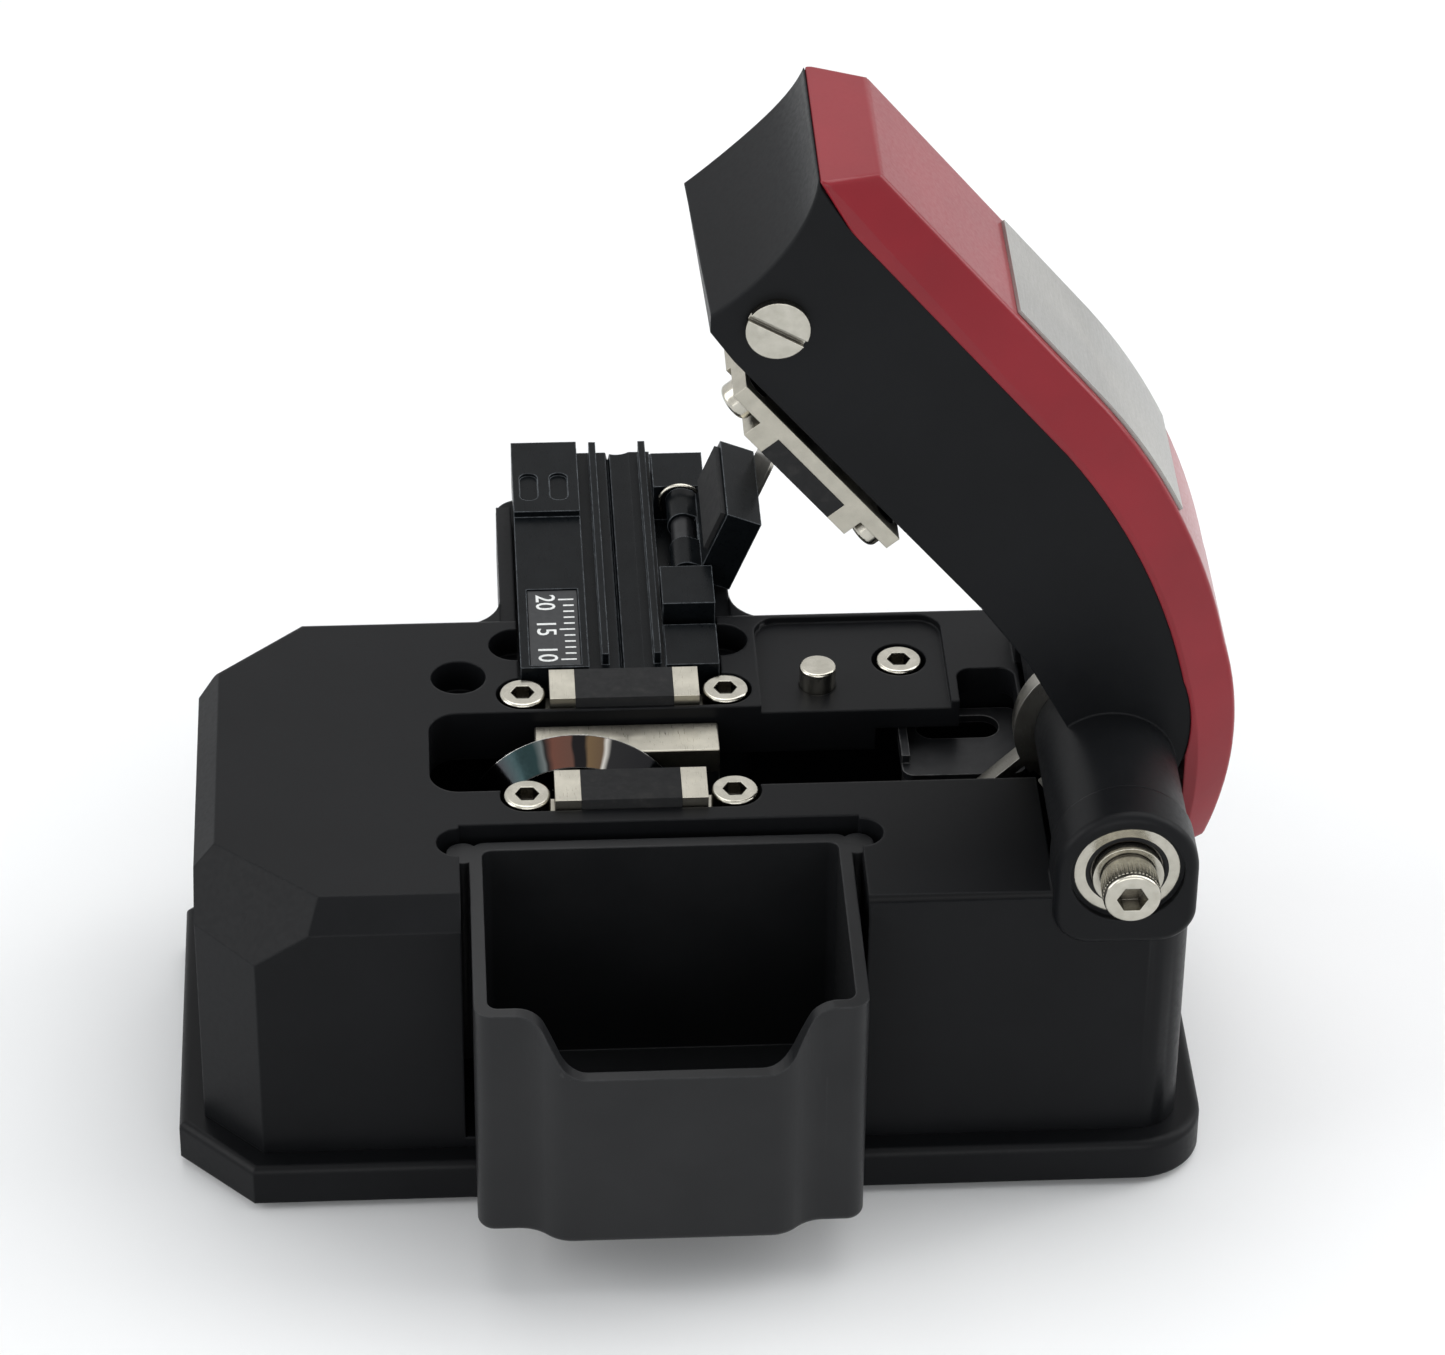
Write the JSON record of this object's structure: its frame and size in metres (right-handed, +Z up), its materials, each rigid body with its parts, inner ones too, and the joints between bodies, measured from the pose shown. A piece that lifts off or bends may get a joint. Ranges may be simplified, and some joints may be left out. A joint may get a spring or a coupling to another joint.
{
  "type": "fibre cleaver",
  "caption": "Hand-held optical fibre cleaver: black housing, red-capped hinged lid arm, sliding round blade, fibre holder and lift-out scrap bin.",
  "frame": {"origin": "middle of the underside of the rubber base pad", "axes": "+X towards the lid hinge, +Y towards the fibre holder, +Z up"},
  "size_m": [0.0994, 0.0898, 0.1001],
  "materials": {
    "casting": "satin black anodised casting",
    "rubber": "matt",
    "dark_steel": "black oxide",
    "steel": "ground satin",
    "nickel": "nickel plated",
    "holder": "black anodised",
    "scale": "dark grey print plate",
    "blade": "polished hard metal",
    "cover": "gloss crimson lacquer",
    "label": "brushed",
    "plastic": "fine satin moulding"
  },
  "bodies": {
    "base": {"base_housing": "casting", "base_plate": "casting", "base_pad": "rubber", "base_screws": "dark_steel", "lower_clamp_front": "steel", "lower_clamp_rear": "steel", "lower_rubber_front": "rubber", "lower_rubber_rear": "rubber", "clamp_screws": "nickel", "stop_pin": "nickel", "panel_screw": "nickel", "hinge_axle": "nickel", "hinge_bearings": "nickel", "axle_screw": "nickel", "axle_spacer": "nickel", "axle_clip": "dark_steel", "slide_rail": "steel", "rail_screws": "dark_steel", "holder_base": "holder", "scale_plate": "scale", "holder_magnets": "nickel", "flap_pin": "nickel"},
    "carriage": {"carriage_block": "casting", "blade_bracket": "holder", "steel_bar": "steel", "blade_screw": "nickel", "drive_post": "holder", "drive_pin": "nickel", "link_plate": "holder"},
    "blade": {"blade_wheel": "blade"},
    "lid": {"lid_arm": "casting", "lid_cover": "cover", "label_plate": "label", "arm_screws": "nickel", "anvil": "steel", "lid_bumper": "rubber", "drive_lever": "steel"},
    "upper_clamps": {"upper_clamp_front": "steel", "upper_clamp_rear": "steel", "upper_rubber_front": "rubber", "upper_rubber_rear": "rubber", "clamp_carrier": "holder", "upper_screws": "nickel", "clamp_springs": "nickel"},
    "flap": {"holder_flap": "holder", "flap_pad": "rubber", "flap_leaf": "nickel"},
    "bin": {"scrap_bin": "plastic"}
  },
  "joints": [
    {"name": "lid_hinge", "type": "hinge", "parent": "base", "child": "lid", "pos_m": [0.03925, 0.00235, 0.036], "axis": [0, -1, 0], "range_deg": [0, 50], "stiffness_Nm_per_rad": 0.012, "springref_deg": -91.67},
    {"name": "carriage_slide", "type": "slide", "parent": "base", "child": "carriage", "axis": [1, 0, 0], "range_m": [0, 0.01005]},
    {"name": "blade_index", "type": "hinge", "parent": "carriage", "child": "blade", "pos_m": [-0.01015, 0.00235, 0.0235], "axis": [0, 1, 0], "continuous": true},
    {"name": "clamp_float", "type": "slide", "parent": "lid", "child": "upper_clamps", "axis": [0.766, 0, 0.6428], "range_m": [0, 0.0006], "stiffness_N_per_m": 800, "springref_m": -0.0005},
    {"name": "flap_hinge", "type": "hinge", "parent": "base", "child": "flap", "pos_m": [0.00175, 0.03435, 0.0343], "axis": [0, -1, 0], "range_deg": [0, 112]},
    {"name": "bin_lift", "type": "slide", "parent": "base", "child": "bin", "axis": [0, 0, 1], "range_m": [0, 0.028]}
  ],
  "couplings": [
    {"joint": "carriage_slide", "follows": "lid_hinge", "m_per_rad": 0.011403}
  ]
}
